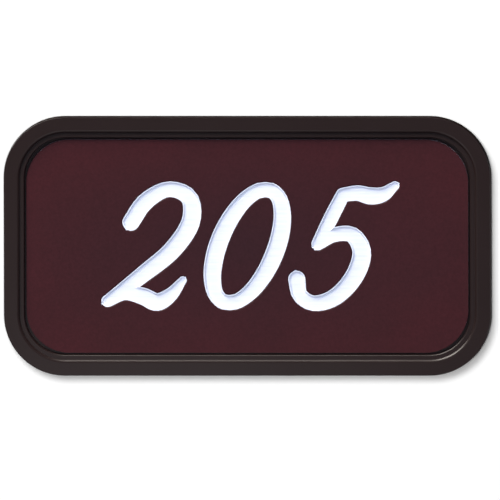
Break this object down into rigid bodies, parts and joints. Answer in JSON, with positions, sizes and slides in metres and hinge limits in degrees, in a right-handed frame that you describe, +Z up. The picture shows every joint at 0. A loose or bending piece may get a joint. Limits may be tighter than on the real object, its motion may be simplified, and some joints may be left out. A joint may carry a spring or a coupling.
{
  "type": "framed wall sign",
  "caption": "Oblong wall sign with large round corners: an engraved insert with a white core in a moulded tray frame with a stepped lip, held on the wall by foam tape squares.",
  "frame": {"origin": "centre of the back face that goes on the wall, on the liner of the middle foam square", "axes": "+X to the right of someone reading the sign, +Z up, +Y into the wall, so the front faces -Y"},
  "size_m": [0.216, 0.008, 0.115],
  "materials": {
    "frame_plastic": "satin moulded",
    "insert_core_white": "cut",
    "insert_cap_burgundy": "satin",
    "thin_tape": "satin",
    "foam_tape": "foam",
    "liner_paper": "coated"
  },
  "bodies": {
    "root": {"frame": "frame_plastic", "insert_core": "insert_core_white", "insert_cap": "insert_cap_burgundy", "insert_cap_island_1": "insert_cap_burgundy", "insert_tape_upper": "thin_tape", "insert_tape_lower": "thin_tape", "wall_foam_centre": "foam_tape", "wall_foam_upper_left": "foam_tape", "wall_foam_upper_right": "foam_tape", "wall_foam_lower_left": "foam_tape", "wall_foam_lower_right": "foam_tape", "wall_liner_centre": "liner_paper", "wall_liner_upper_left": "liner_paper", "wall_liner_upper_right": "liner_paper", "wall_liner_lower_left": "liner_paper", "wall_liner_lower_right": "liner_paper"}
  },
  "joints": []
}
